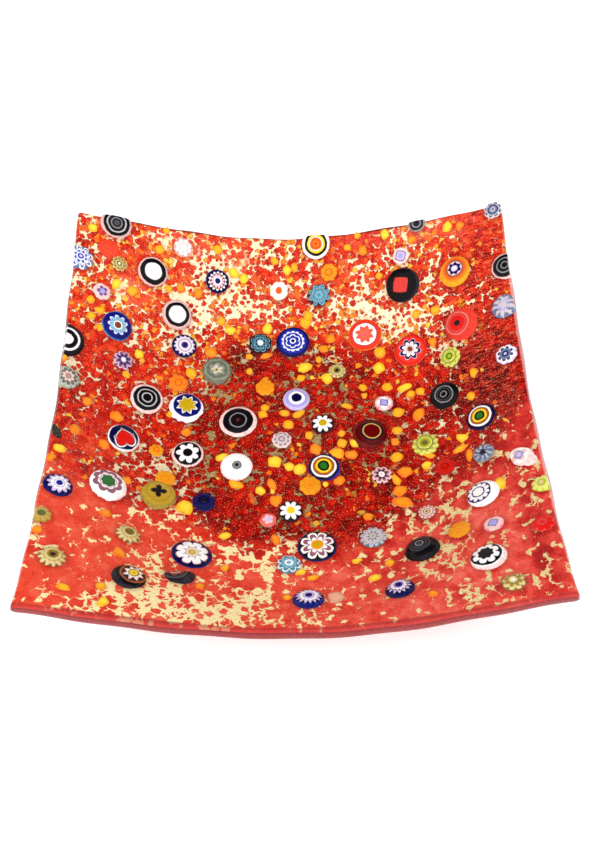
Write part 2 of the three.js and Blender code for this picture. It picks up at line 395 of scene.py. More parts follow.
# --- Slices of cane, as read_canes reads them.
# Unusual ones have their own place on the sheet (at), a pattern off the slice's middle (centre), a lobed rim
# (lobed: count and depth, petals: count), a pattern that wanders more (wobble), a ragged rim, a hollow top
# (gear), another height (proud), one half missing along a heading (broken), or are pulled out along a heading
# (drawn: how much, heading).
CANES = read_canes("""
grey_rings_1 7.1 veil black at=-82,96.5: black 6, pale_grey 4.5, ink 3.9, grey 2.6, ink 2.1, dark_grey 1.3;
blue_pinwheel 6 steel lavender at=-97,76.5 lobed=8,0.16: white 5.8 8 0.5 1.8 10, royal 5 8 0.6 1.5 10,
    white 4.2 8 0.6 1.5 10, blue 3 8 0.5, white 1.9, royal 1.4, lilac 0.7;
black_hoop_1 7 veil pink_casing: blush 6.4, black 6, dark_grey 4.2, white 3.9, blush 1, white 0.7;
pale_flower 4.6 rose pink_casing lobed=8,0.05: white 3.9 8, blush 2.6 6, white 1.6;
pink_gear_1 5.6 navy navy: midnight 5.2, white 4.5 14 0.26 1.4, berry 3.5, blush 3.2 12 0.34, lilac 2.3,
    white 1.8, navy 1.3;
black_hoop_2 7 veil pink_casing: blush 6, black 5.6, dark_grey 4.2, white 3.9;
turquoise_gear 6.8 teal blue: royal 6.4, navy 6, royal 4.9 9 0.2, white 4.5 9 0.4 2, aqua 4 9 0.4 2,
    white 2, brown 1.5;
pink_gear_2 5.6 navy navy: midnight 5.3, lilac 4.8 14 0.24 1.4, white 3.6, mauve 3.1, lilac 2.8, white 2.2,
    violet 1.6, navy 1.1;
bold_rings 8 black black at=-99.5,35.5: black 7.6, white 5.7, black 4.7, white 2.7;
sage_flower 5.6 sage grey at=-97,17.5 lobed=11,0.08: pale_grey 4.9 11, smoke 4.2 11 0.35, blush 2.7 8 0.4,
    sage 1.4, pink 0.7;
smoke_dome 6.6 smoke grey wobble=1 ragged=0.09: sage 5.4, smoke 4.6, sage 3.4 6 0.45, frost 2.4 5 0.6 1.2,
    sand 1.6 5 0.5 1.4, moss 0.6;
grey_rings_2 7.2 blush pink_casing: ink 5.9, black 5.7, pale_grey 4.3, black 3.8, pale_grey 2.4, black 1.9;
gold_star 7.4 white white centre=0.3,0.9 ragged=0.08: royal 6, navy 5.7, white 4.9 8 0.42 1,
    gold 4.1 8 0.36 1;
grey_rings_3 8 blush pink_casing: ink 6.4, black 6.2, grey 3.8, black 3.2, maroon 1.4, dark_grey 0.5;
teal_flower_1 5.3 black teal lobed=8,0.07: ink 5.1 8 0.2, aqua 4.4 8, ink 4.1 8 0.34, teal 3.5 8 0.4,
    aqua 2.8 8 0.4, ink 2.5 8 0.4, aqua 1.6, white 1.2;
heart 6.8 blush white centre=-0.1,0.2: white 6.6, navy 6.1, midnight 5.9, heart white 4 158,
    heart maroon 3.6 158, heart red 3.35 158;
royal_gear 7.6 midnight navy: navy 7.2, royal 6.1, white 5.2 14 0.14 2, royal 4.3, white 3.5 6 0.22,
    royal 3 6 0.24, white 1.4, navy 0.9;
yellow_rings 6.8 white white at=12.2,96: black 5.4, yellow 4.2, white 3.2, tangerine 2.8, amber 1.2,
    scarlet 0.8;
teal_flower_2 5.3 ink teal lobed=8,0.1 wobble=0.8: aqua 5 8 0.3 2, teal 4.6 8 0.5 2, frost 3.6 8 0.5 1.4,
    teal 3.1 8 0.5, aqua 2 8 0.4, teal 0.8;
red_square 8 ink black centre=-0.6,0: black 7.3, maroon 4.9 4 0.29 0.4 12, carmine 4.6 4 0.29 0.4 12;
navy_star 7 amber amber centre=0.3,1: orange 5.9, tangerine 4.9, rust 4, navy 3.5, blush 3.2,
    midnight 3.1 7 0.32 1, navy 2, lilac 1.4, white 0.8;
grey_rings_4 6.2 blush grey at=98.3,67.8: dark_grey 5.4, black 5, grey 3.7, black 3.1, grey 1.8, black 1.3;
red_star 7.7 tangerine orange_red: scarlet 7.2, berry 5.6, white 5.3, coral 4.4 8 0.34 1, salmon 2.2;
red_flower 7.5 scarlet orange_red centre=0,0.2: red 7, scarlet 6.2, lilac 5.2 8 0.34 2,
    midnight 4.9 8 0.36 2, white 3.7 8 0.42 1.8, lilac 2.2 8 0.2, blush 1.8, brown 1.2;
red_dome 7.6 scarlet ruby centre=-1.4,0.6: carmine 7.1, scarlet 6.5, carmine 6, rose 5.2, carmine 4.9,
    red 3.4, ink 1.3;
grey_pinwheel_1 5.6 steel lavender at=95.5,49 lobed=9,0.06 wobble=1.2: frost 5.4 9 0.5 1.2,
    steel 4.6 9 0.8 1.2 20, frost 4 7 0.6 1.2, lavender 3 7 0.7 1.2 5, frost 1.8 5 0.5;
lime_gear_1 5 lime lime lobed=10,0.16 gear=1: pale_lime 4.9 10 0.24 1.2, lime 4 10 0.26 1.2, moss 3,
    pale_lime 2.7, lime 2.2, green 1.4, lime 0.8;
navy_flower 4.8 lilac lavender lobed=8,0.1: white 4.4 8 0.35, navy 3.5 8 0.45, steel 2.8 8 0.4, navy 1.4,
    lilac 0.7;
lavender_eye 5.9 lavender lavender: lilac 5.5, lavender 4.8, white 3.4, midnight 2.2;
grey_rings_5 6.5 black black: black 6.2, grey 4.2, black 3.6, dark_grey 3, black 2.6, grey 1.6, black 1.1;
daisy_1 5 ink black lobed=8,0.07: black 4.8 8 0.15, white 4.3 8 0.5 2.2, cream 1.8, gold 1.6;
ruby_ring 7.4 ruby ruby centre=0.8,0.6: maroon 6.6, ruby 6, ink 4.9, honey 3.9, black 3.4, ruby 3.2;
rainbow_rings_1 6.4 navy navy: midnight 6.2, black 5.6, white 5, ink 4.2, rust 4, yellow 3.2, black 2.3,
    green 1.5;
black_daisy 6.6 blush white: black 5.6, white 4.8 7 0.4 2.2, ink 2, black 1.8;
white_eye 6.7 blush white centre=0.2,0: white 6.3, dark_grey 2, grey 1.7, ink 0.8;
olive_cross 7.2 olive olive centre=-0.1,1.2 wobble=0.5: golden 6.8, olive 5.2, golden 4.8,
    bronze 3.5 4 0.6 1.5 45, ink 3.1 4 0.62 1.5 45;
green_flower 7.9 white white centre=-0.6,1.2 ragged=0.05: plum 6.2 8 0.2 2, mauve 5.9 8 0.2 2,
    white 4.3 8 0.14 2, mauve 3.5, white 3.2, ink 3 7 0.14, green 2.6 7 0.16;
midnight_flower 5 navy navy lobed=8,0.16 gear=1: navy 4.8 8, black 3.9 8 0.4, navy 3.4 8 0.45,
    midnight 2.3 6, black 1.2;
blue_gear 5.9 midnight navy lobed=11,0.04: navy 5.7, midnight 5, lilac 4.7 11 0.3 1.6, white 3.4 11 0.2,
    lavender 2.2, white 1.9, royal 1.4, midnight 0.7;
daisy_2 5 ink black lobed=8,0.07: black 4.8 8 0.15, white 4.4 8 0.5 2.2, cream 1.8, yellow 1.6;
olive_gear_1 5.1 bronze olive lobed=12,0.16 gear=1: sand 5.1 12 0.3 1.1, tan 3.4 12 0.2, sand 2.7, olive 2,
    moss 1.5, bronze 0.8;
olive_gear_2 5.3 bronze olive lobed=12,0.16 gear=1: sand 5.3 12 0.3 1.1, tan 3.6 12 0.2, sand 2.9,
    olive 2.2, bronze 1.6, ink 0.9;
navy_blossom_1 7.9 navy navy: midnight 7.4, mauve 6.6 8 0.3 4, white 6.2 8 0.34 4, mauve 3.9 8 0.7 1,
    white 3.2 8 0.6 1, mauve 2.5, cream 2.2, gold 1.6, sand 0.6;
amber_star 6.6 ink black centre=1.4,1: black 6.4, rust 5.2, brown 4.7, ink 4.4, blush 4.2 8 0.42 1,
    cream 3.2 8 0.3 1, ink 2.1, yellow 1.7, gold 0.6;
broken_half 6.2 ink black centre=-2.2,0.6 broken=16: ink 5.9, dark_grey 5, ink 4.2, brown 3.6 6 0.2,
    rose 2.4, brown 1.9;
teal_flower_3 4.9 teal teal lobed=8,0.1: white 4.6 8 0.3 2, teal 4.1 8 0.35 2, aqua 3 8 0.4, white 1.6,
    aqua 0.9;
rainbow_rings_2 6.6 royal navy centre=-0.3,0: navy 6.3, black 5.8, white 5.2, ink 4.4, rust 4.2, yellow 3.3,
    black 2.4, green 1.6;
lime_gear_2 5.8 lime lime lobed=11,0.16 gear=1: pale_lime 5.7 11 0.24 1.2, lime 4.6 11 0.26 1.2, moss 3.5,
    pale_lime 3.1, lime 2.6, olive 1.7, moss 1.1;
grey_pinwheel_2 4.8 grey grey lobed=9,0.06 wobble=0.7: steel 4.5 9 0.5 1.3 0 0.1,
    pale_grey 3.9 9 0.7 1.1 20 0.1, steel 2.8 7 0.6 1.2, ink 1.6 5 0.5;
navy_blossom_2 7.6 midnight navy: navy 7.3, black 7, white 6.6 8 0.34 3.6, berry 5.7 8 0.5 2.2,
    mauve 5.3 8 0.55 2, white 4 8 0.5, white 2.8, amber 2.4, gold 1.2;
frost_flower 5.3 sage grey lobed=12,0.1 wobble=0.55: teal 5.2, frost 5 12 0.35, grey 4.4 12 0.6 1.2,
    frost 3.8 12 0.5 1.4, grey 2.8 9 0.6 1.2, frost 1.3, sage 0.6;
white_gear 6.9 white white centre=-1.4,0.4: navy 5.2, white 4.7 11 0.32 3.2, lavender 2.9 11 0.1, navy 2.7,
    white 2.3 8 0.12;
tall_dome 6.9 black black centre=-0.5,0.6 proud=3.4: black 6.6, dark_grey 4.2, black 3.8, dark_grey 3,
    black 2.7, grey 1.7, black 1.2, dark_grey 0.5;
black_gear 6.9 blush white centre=-0.6,0.8: white 6.5, black 6, white 5.2 8 0.36 3.4, black 3.3 8 0.2 1;
lavender_gear_1 6.2 navy navy centre=0.2,0.8 lobed=15,0.04: royal 6.1 15 0.2 1.2, midnight 5.3,
    lilac 5.1 15 0.34 1.3, white 3.5 12 0.2, lavender 2.4, lilac 2, royal 1.5, midnight 1.1;
lavender_gear_2 5.9 midnight navy centre=-0.2,0.8 lobed=14,0.04: navy 5.8 14 0.2 1.2, midnight 5.2,
    lilac 4.9 14 0.36 1.2, mauve 3.7 14, white 3.1 12 0.2, lavender 2.2, royal 1.5, midnight 1.1;
olive_flower 4.7 olive olive lobed=8,0.16 gear=1: bronze 4.6 8 0.22 3, sand 4.1 8 0.3 3, olive 3.3 8 0.4 2,
    bronze 1.9, sand 1.6, cream 0.9
""")

# Slices too small or too far under the frit to be CAD pieces of their own, most with a rim of petals.
SMALL_CANES = read_canes("""
olive_bud 3.8 bronze olive at=-79.8,78 petals=9: sand 3.7 9 0.4, olive 3 9 0.4, sand 1.8, moss 1.3,
    cream 0.6;
lilac_bud 4.2 blush pink_casing at=-86.5,63 petals=5: blush 3.9 5 0.2, violet 2.4 5 0.5, lavender 1.1;
purple_flower 4.5 violet lavender at=-74.2,34 petals=8: blush 4.3 8 0.35, violet 3.8 8 0.42 2,
    plum 2.8 8 0.6 1.5, lilac 1.3, white 0.8;
yellow_flower_1 4.5 orange amber at=-12,27.5 petals=8: amber 4.1 8 0.25, orange 2, amber 1.3;
orange_flower_1 4.5 tangerine orange_red at=-49.5,28.5 petals=8: orange 4 8 0.25, tangerine 1.9, orange 1.2;
orange_flower_2 4.2 orange amber at=17.8,83 petals=8: amber 3.8 8 0.25, tangerine 1.8, amber 1.1;
purple_diamond 4 blush pink_casing at=52,85.4: violet 3.2 4 0.29 0.4 20, lilac 2.6 4 0.29 0.4 20,
    lavender 1.6 4 0.29 0.4 20;
dark_bud 4 grey grey at=60.5,98.6: ink 3.2, grey 2.2, ink 1.5;
corner_flower 4.2 frost grey at=95.5,96.3 petals=8: steel 3.8 8 0.35, frost 2.9, navy 2.5, steel 2,
    frost 1.2, steel 0.7;
white_flower 4.5 cream white at=-5.8,75.6 petals=8: white 4.2 8 0.45 2, tangerine 1.6;
olive_bud_2 4 olive olive at=19.3,35.5 petals=10: sand 3.9 11 0.35, moss 2.8, sand 2.5, olive 1.8, ink 0.9;
lilac_flower 4.3 pink pink_casing at=38.5,17.5 petals=4: blush 4.1 4 0.3 2 45, white 3.2 4 0.4 1.5 45,
    violet 2.4 4 0.29 0.4 10, lavender 1.8 4 0.29 0.4 10;
pink_bud 4.4 frost grey at=-5,0.2 petals=9: blush 4.1 9 0.4, smoke 3.2 9, frost 2.6, mauve 1.4, frost 0.9;
orange_flower_3 4.5 orange amber at=-52,-19.5 petals=8: amber 4.1 8 0.25, orange 1.9, amber 1.2;
magenta_flower 3.5 pink pink_casing at=-10.5,-37.6 petals=5: salmon 3.3 5 0.4, blush 2.2 5 0.4, lilac 1.2;
olive_bud_3 4.2 olive olive at=-97.5,-54.5 petals=9: tan 3.8 9, moss 1.6;
yellow_flower_2 4.8 orange amber at=6.3,-22 petals=8: amber 4.5 8 0.25, orange 2.3, amber 1.8, orange 1.1;
mauve_flower 4.4 plum black at=35.2,-18 petals=8: blush 4.2 8 0.3 3.4, mauve 3.4 8 0.5 2.2, plum 2.4 8 0.5,
    white 1.3, blush 0.7;
red_flower_2 4.5 crimson ruby at=61,-18 petals=8: garnet 4.1 8, crimson 1.8, garnet 1;
pink_gear_3 4 salmon pink_casing at=51.8,-39.2 petals=12: brown 4 12, blush 3.5 12, brown 2.6, blush 2.3,
    mauve 1.6, sand 1.2, brown 0.5;
lime_flower 4.3 lime lime at=97.4,-43.3 petals=8: pale_lime 3.9 8 0.35, lime 1.8, sand 1;
orange_flower_4 4.8 orange amber at=63.5,-53.3 petals=8: amber 4.4 8 0.25, orange 2.2, amber 1.4;
pink_flower 4.3 pink pink_casing at=76.8,-56.3 petals=4: blush 4 4 0.22 2 45, steel 2.5 4 0.29 0.4 25,
    lavender 2 4 0.29 0.4 25;
red_flower_3 4.5 carmine ruby at=94.3,-63.3 petals=8: red 4.2 8, carmine 1.8, red 1;
split_flower 4.6 blush pink_casing at=92.6,-26.4 lobed=2,0.2 drawn=1.5,-42: white 4.5 4 0.15 2 20,
    blush 3.6 4 0.5 1.4 20, steel 2.4 4 0.29 0.4 40, lavender 2 4 0.29 0.4 40, lilac 0.9;
orange_bud 3.3 orange amber at=-56.5,-6 petals=8: amber 3 8, tangerine 1.3, amber 0.8
""")
BROKEN_PLACE = (-43.6, -69.6)
USUAL_WOBBLE = 0.3
BUD_WOBBLE = 0.35
BUD_HEIGHT = 1.2
BUD_PETAL_DEPTH = 0.14
SMALL_RADIUS = 5.5  # up to here a dome is lower and rounder


def store(mesh, name, values):
    layer = mesh.attributes.new(name, "FLOAT_VECTOR", "POINT")
    layer.data.foreach_set("vector", np.asarray(values, np.float32).ravel())


def new_object(name, verts, faces, material):
    mesh = bpy.data.meshes.new(name)
    mesh.from_pydata([tuple(p) for p in verts], [], faces)
    mesh.validate()
    mesh.update()
    mesh.materials.append(material)
    obj = bpy.data.objects.new(name, mesh)
    bpy.context.scene.collection.objects.link(obj)
    return obj


def link(name, verts, faces, attribute, values, material, node=None):
    """A mesh piece of the bowl that rides on its body."""
    obj = new_object(name, verts, faces, material)
    mesh = obj.data
    store(mesh, attribute, values)
    mesh.polygons.foreach_set("use_smooth", np.full(len(mesh.polygons), True))
    mesh.update()
    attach(obj, "root")
    if node:
        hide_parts(node)
    return obj


def mound(outline, shares, levels, floor):
    """Rings of a closed mound: the outline (n, 2) shrunk by each share at each level, and a flat underside.

    Returns its points around (0, 0), its faces, and each point's share of the way out.
    """
    n = len(outline)
    rings = [(shares[0], floor), *zip(shares, levels)]
    points = [[0.0, 0.0, floor]]
    for share, level in rings:
        points += [[x * share, y * share, level] for x, y in outline]
    points.append([0.0, 0.0, levels[-1]])
    out = np.array([0.0, *np.repeat([share for share, _ in rings], n), 0.0])
    around = [(k, (k + 1) % n) for k in range(n)]
    last = 1 + (len(rings) - 1) * n
    faces = [(0, 1 + m, 1 + k) for k, m in around]
    for a in range(1, last, n):
        faces += [(a + k, a + m, a + n + m, a + n + k) for k, m in around]
    faces += [(last + k, last + m, last + n) for k, m in around]
    return np.array(points), faces, out


def cane_outline(name, radius, lobed, ragged):
    rng = rng_for("outline " + name)
    sides = 96 if lobed else 72
    angle = np.linspace(0, 2 * math.pi, sides, endpoint=False)
    reach = np.ones(sides)
    for k in (2, 3, 5):
        reach += rng.uniform(0.006, 0.02) / (k / 2) * np.cos(k * angle + rng.uniform(0, 6.28))
    reach += ragged * np.maximum(0, -np.sin(angle)) ** 0.5 * np.sin(9 * angle + 2.5 * np.sin(3 * angle))
    if lobed:
        petals, depth = lobed
        notch = np.abs((petals * angle / (2 * math.pi)) % 1 - 0.5) * 2
        reach *= 1 - depth * notch ** 2.2
    return np.stack([np.cos(angle) * reach, np.sin(angle) * reach], 1) * radius


def build_cane(name, u, v, spec, material, node=None):
    radius = spec["radius"]
    is_small = radius <= SMALL_RADIUS
    proud = spec.get("proud", 1.5 if is_small else 1.9)
    shares = np.sin(np.linspace(math.pi / 2, 0.06, 15))
    if "gear" in spec:
        heights = proud * (0.5 * np.power(1 - shares ** 3, 0.5) + 0.75 * soft_step(shares, 1.0, 0.45)
                           - 0.35 * np.exp(-(shares / 0.24) ** 2))
    else:
        heights = proud * np.power(np.clip(1 - shares ** (2.2 if is_small else 2.6), 0, 1), 0.5)
    outline = cane_outline(name, radius, spec.get("lobed"), spec.get("ragged", 0.0))
    points, faces, _ = mound(outline, shares, TOP + heights, CANE_FLOOR)
    local = points.copy()
    if "drawn" in spec:
        # the pattern stays whole near one end
        factor, heading = spec["drawn"]
        along = np.array([math.cos(math.radians(heading)), math.sin(math.radians(heading))])
        far = points[:, :2] @ along
        points[:, :2] += (far * (factor - 1))[:, None] * along
        local = points + np.append(1.6 * along, 0)
    if "broken" in spec:
        turn = math.radians(spec["broken"])
        across = np.array([-math.sin(turn), math.cos(turn)])
        start = rng_for("break").uniform(0, 6)
        rough = 0.25 * np.sin(points[:, 0] * 1.7 + start) + 0.12 * np.sin(points[:, 0] * 4.1)
        over = np.maximum(points[:, :2] @ across - rough, 0)
        points[:, :2] -= over[:, None] * across
        local = points.copy()
    flat = points + np.array([u, v, 0.0])
    limit = HALF - 0.15
    clipped = np.clip(flat[:, :2], -limit, limit)
    local[:, :2] += clipped - flat[:, :2]
    flat[:, :2] = clipped
    link(name, slump(flat), faces, "cane", local, material, node)


CANE_PLACES = []
for name, spec in CANES.items():
    node = "murrina_" + name
    if "at" in spec:
        u, v = spec["at"]
    elif "broken" in spec:
        u, v = BROKEN_PLACE
    else:
        low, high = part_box(node)
        middle = (low + high) / 2
        u, v = unslump(middle.x, middle.y, (CANE_FLOOR + TOP + spec.get("proud", 1.7)) / 2)
    CANE_PLACES.append((u, v, spec["radius"]))
    build_cane("dome_" + name, u, v, spec, cane_material(name, spec, spec.get("wobble", USUAL_WOBBLE)), node)

for name, spec in SMALL_CANES.items():
    u, v = spec["at"]
    CANE_PLACES.append((u, v, spec["radius"]))
    spec["proud"] = BUD_HEIGHT
    if "petals" in spec:
        spec["lobed"] = (spec["petals"], BUD_PETAL_DEPTH)
    build_cane("bud_" + name, u, v, spec, cane_material(name, spec, BUD_WOBBLE))


# --- Chips: u, v, length and width in mm, or one size for both, and the kind: yellow, orange or m between.
CHIPS = """
-92 92.5 4 y; -59 98 3 m; -62 88.5 4 m; -34.5 92.5 4 m; -27 83 5 y; -22 80.5 4 y; -7.5 89 4 m; -2 85 4 y;
-80.5 68.5 5 y; -73 67 4.5 m; -51 73 4.5 o; -42.5 72 4.5 o; -56.5 71.5 3.5 m; -91 58 4 m; -32 60.5 4 m;
-27.5 56.5 4.5 y; -11 58 5 y; -86.5 54 4 m; -90 50.5 3.5 m; -86 46 3.5 m; -35.5 45 5 o; -11.5 44.5 5 3 o;
-67.5 39 4.5 y; -19 36.5 3 m; -44 34 5 m; -72 28 3.5 m; -19 44 3 m; -100 27.5 4 m; -13 13.5 4 m;
-12 17 3.5 m; -3.5 14 4 3 m; -2 8 4 m; -74 6.5 5 o; -87 9.5 4 o; -52 13 3.5 m; -44.5 4.5 4 o; 1.5 86 4 m;
34.5 91 4.5 o; 27 93 3.5 m; 45 96.5 4 y; 32 98 3 m; 74.5 94 4.5 y; 80 93 4 o; 57.5 92 4 o; 41 78.5 3 m;
7.5 63.5 5 m; 6 60.5 5 m; 56 58 4 m; 65 57.5 4 m; 17 52 4 o; 14 47.5 4.5 o; 38.5 43 5 m; 11.5 42 3 m;
5 38 6 y; 28.5 38 3 o; 37.5 35.5 5 y; 15 32 5 y; 62 43.5 4 o; 3.5 32.5 3.5 m; 30 26.5 4.5 3 m; 40.5 26 4 m;
48 24.5 6 3.5 y; 30.5 22 3 m; 50 21 3.5 m; 54.5 21.5 3.5 m; 22.5 17 4.5 3 m; 44 12.5 5 m; 53 10.5 4.5 6 o;
75.5 13 3.5 m; 2.5 13.5 6 3 m; 78 23.5 4 m; 6.5 2 4 m; 20 3 3 m; 43 3.5 4 m; -78 -8.5 4.5 o;
-95.5 -18 4.5 y; -98 -24 4 o; -29.5 -7.5 6 3.5 y; -24 -20.5 6 3.5 m; -8 -10 5 6 y; -2 -13 4 y;
-13.5 -24 4 y; -9 -21 3 5 o; -7.5 -28.5 5 o; -27 -45 5 3 y; -7.5 -46.5 3.5 5 o; -74 -44 4.5 o;
-96.5 -54 3 m; -97.5 -62.5 3.5 o; -67 -64 5 o; -26.5 -62 3.5 m; -35.5 -74.5 3.5 o; -71 -84.5 4 m;
-84 -88 5 3 m; -69.5 -92 4.5 y; -3 -78 3.5 m; -42.8 -32 6 7 y; -67 -24 4 o; 9 -4.5 5 o; 17.5 -7 5.5 m;
23.5 -7.5 5 6 o; 20 -2 4 m; 25 -2 4 y; 18 -20 4.5 o; 2 -14 5 y; 12.5 -21.5 2.5 y; 42 -2 4 o; 42 -9.5 4.5 m;
53.5 -15.5 4 y; 55 -10.5 5 3 m; 45 -17 6 5 o; 41 -20.5 3.5 6 m; 42 -26 5 5.5 o; 43 -32 8 4.5 o;
69 -5.5 4.5 y; 68 -11 6 3 m; 71.5 -15.5 3 6 o; 28.5 -37.5 4 o; 81.5 -36 4.5 7 y; 23.5 -59 4 3 y;
35.5 -62.5 3.5 m; 29.5 -70 4 y; 50.5 -86.5 3.5 o; 2 -63 4 y; 6.5 -66.5 5 3 m
"""
CHIP_KINDS = {"y": ("yellow_chips", rgb(252, 214, 56), rgb(250, 176, 26), rgb(226, 110, 16)),
              "m": ("amber_chips", rgb(252, 178, 26), rgb(246, 142, 16), rgb(222, 82, 12)),
              "o": ("orange_chips", rgb(248, 146, 22), rgb(240, 112, 14), rgb(214, 58, 12))}
CHIP_HEIGHT = 0.75
CHIP_SPREAD = 1.3  # the read sizes are of the bright cores
# Smears of melted colour: u, v, length, width, height, glass and slot.
PATCHES = [(-84.5, 83.5, 9.5, 9, 0.5, "scarlet", "orange_red_glass"),
           (14.8, -79.3, 7, 6.5, 0.6, "peach", "pink_casing_glass"),
           (-90.5, -6, 4.5, 4.5, 0.6, "orange", "amber_glass"),
           (-98, -10, 3.6, 6, 1.0, "ink", "black_glass")]


def chip_outline(rng, length, width, tilt, sides=30):
    """A softened irregular polygon, as a broken bit of glass has after firing."""
    corners = int(rng.integers(5, 8))
    at = np.sort((np.arange(corners) + rng.uniform(-0.3, 0.3, corners)) * 2 * math.pi / corners)
    far = rng.uniform(0.82, 1.15, corners)
    px, py = np.cos(at) * far, np.sin(at) * far
    loop_x, loop_y = np.append(px, px[0]), np.append(py, py[0])
    walk = np.concatenate([[0], np.cumsum(np.hypot(np.diff(loop_x), np.diff(loop_y)))])
    t = np.linspace(0, walk[-1], sides, endpoint=False)
    x, y = np.interp(t, walk, loop_x), np.interp(t, walk, loop_y)
    for _ in range(2):
        x = (np.roll(x, 1) + 2 * x + np.roll(x, -1)) / 4
        y = (np.roll(y, 1) + 2 * y + np.roll(y, -1)) / 4
    x, y = x * length / 2 * CHIP_SPREAD, y * width / 2 * CHIP_SPREAD
    c, s = math.cos(tilt), math.sin(tilt)
    return np.stack([x * c - y * s, x * s + y * c], 1)


def chip_points(name, u, v, length, width, height):
    rng = rng_for(name)
    outline = chip_outline(rng, length, width, rng.uniform(-0.6, 0.6))
    shares = np.array([1.0, 0.97, 0.9, 0.78, 0.6, 0.35, 0.12])
    levels = TOP - 0.1 + (height + 0.1) * np.power(1 - shares ** 2.4, 0.6)
    points, faces, out = mound(outline, shares, levels, CHIP_FLOOR)
    flat = points + np.array([u, v, 0])
    flat[:, :2] = np.clip(flat[:, :2], -HALF + 0.2, HALF - 0.2)
    local = np.stack([points[:, 0] + rng.uniform(-90, 90), points[:, 1] + rng.uniform(-90, 90), out], 1)
    return slump(flat), faces, local


def chip_material(name, core, edge, deep):
    material, net, shader = new_material("glass_" + name)
    place = net.attribute("cane")
    out = net.split(place)[2]
    level = net.vector("MULTIPLY", place, (1, 1, 0))
    cloud = net.noise(level, 0.45, 3.0, 0.6)
    share = net.plus(out, net.times(net.minus(cloud, 0.5), 1.1))
    colour = net.mix(net.step(share, 0.35, 0.95), core, edge)
    colour = net.mix(net.step(share, 0.85, 1.15, 0.0, 0.7), colour, deep)
    colour = net.mix(net.step(net.noise(level, 2.4), 0.5, 0.75, 0.0, 0.25), colour, rgb(255, 236, 150))
    finish_glass(net, shader, colour, 0.12, 0.2, net.noise(level, 0.8), 0.4, 0.00025)
    return material


CHIP_PLACES = []
for kind, (name, *colours) in CHIP_KINDS.items():
    verts, faces, local, start = [], [], [], 0
    for k, row in enumerate(CHIPS.split(";"), 1):
        *numbers, this_kind = row.split()
        if this_kind != kind:
            continue
        u, v, length, width = map(float, (numbers + numbers[-1:])[:4])
        CHIP_PLACES.append((u, v, (length + width) / 4))
        p, f, l = chip_points(f"{name} {k}", u, v, length, width, CHIP_HEIGHT)
        verts.append(p)
        local.append(l)
        faces += [tuple(i + start for i in face) for face in f]
        start += len(p)
    material = chip_material(name, *colours)
    link(name, np.vstack(verts), faces, "cane", np.vstack(local), material)

for k, (u, v, length, width, height, glass, slot) in enumerate(PATCHES):
    core = GLASS[glass]
    edge, deep = (tuple(c * shade for c in core[:3]) + (1,) for shade in (0.8, 0.55))
    p, f, l = chip_points(f"patch {k}", u, v, length, width, height)
    link(f"chip_patch_{k + 1}", p, f, "cane", l, chip_material(f"patch_{k + 1}", core, edge, deep))


# --- The sheet: plate, leaf and frit skin.
EDGE_ROUND = 0.9
CORNER_ROUND = 1.3


def outline_point(a, b, level, extra):
    """Sheet coordinates of the point at shares a, b (-1 to 1) of a wavy square with round corners."""
    inset = EDGE_ROUND * (1 - math.sqrt(max(0.0, 1 - ((level - TOP / 2) / (TOP / 2)) ** 2)))
    half = HALF - inset - extra
    u, v = a * half, b * half
    core = half - CORNER_ROUND
    qu, qv = np.maximum(np.abs(u) - core, 0), np.maximum(np.abs(v) - core, 0)
    both = (qu > 0) & (qv > 0)
    fit = np.where(both, np.maximum(qu, qv) / np.maximum(np.hypot(qu, qv), 1e-9), 1)
    u = np.where(both, np.sign(u) * (core + qu * fit), u)
    v = np.where(both, np.sign(v) * (core + qv * fit), v)
    wave_u = 0.35 * np.sin(v * 0.071 + 1.3) + 0.22 * np.sin(v * 0.19 + 0.4)
    wave_v = 0.35 * np.sin(u * 0.063 + 2.1) + 0.22 * np.sin(u * 0.21 + 1.7)
    u = u - np.sign(a) * np.abs(a) ** 10 * (0.45 + wave_u)
    v = v - np.sign(b) * np.abs(b) ** 10 * (0.45 + wave_v)
    return u, v


def grid_faces(cells):
    across = cells + 1
    return [(p, p + 1, p + 1 + across, p + across)
            for j in range(cells) for p in range(j * across, j * across + cells)]


def border(cells):
    """The grid places around a square of cells, counter-clockwise from above."""
    low = [(i, 0) for i in range(cells)]
    right = [(cells, j) for j in range(cells)]
    high = [(cells - i, cells) for i in range(cells)]
    left = [(0, cells - j) for j in range(cells)]
    return low + right + high + left


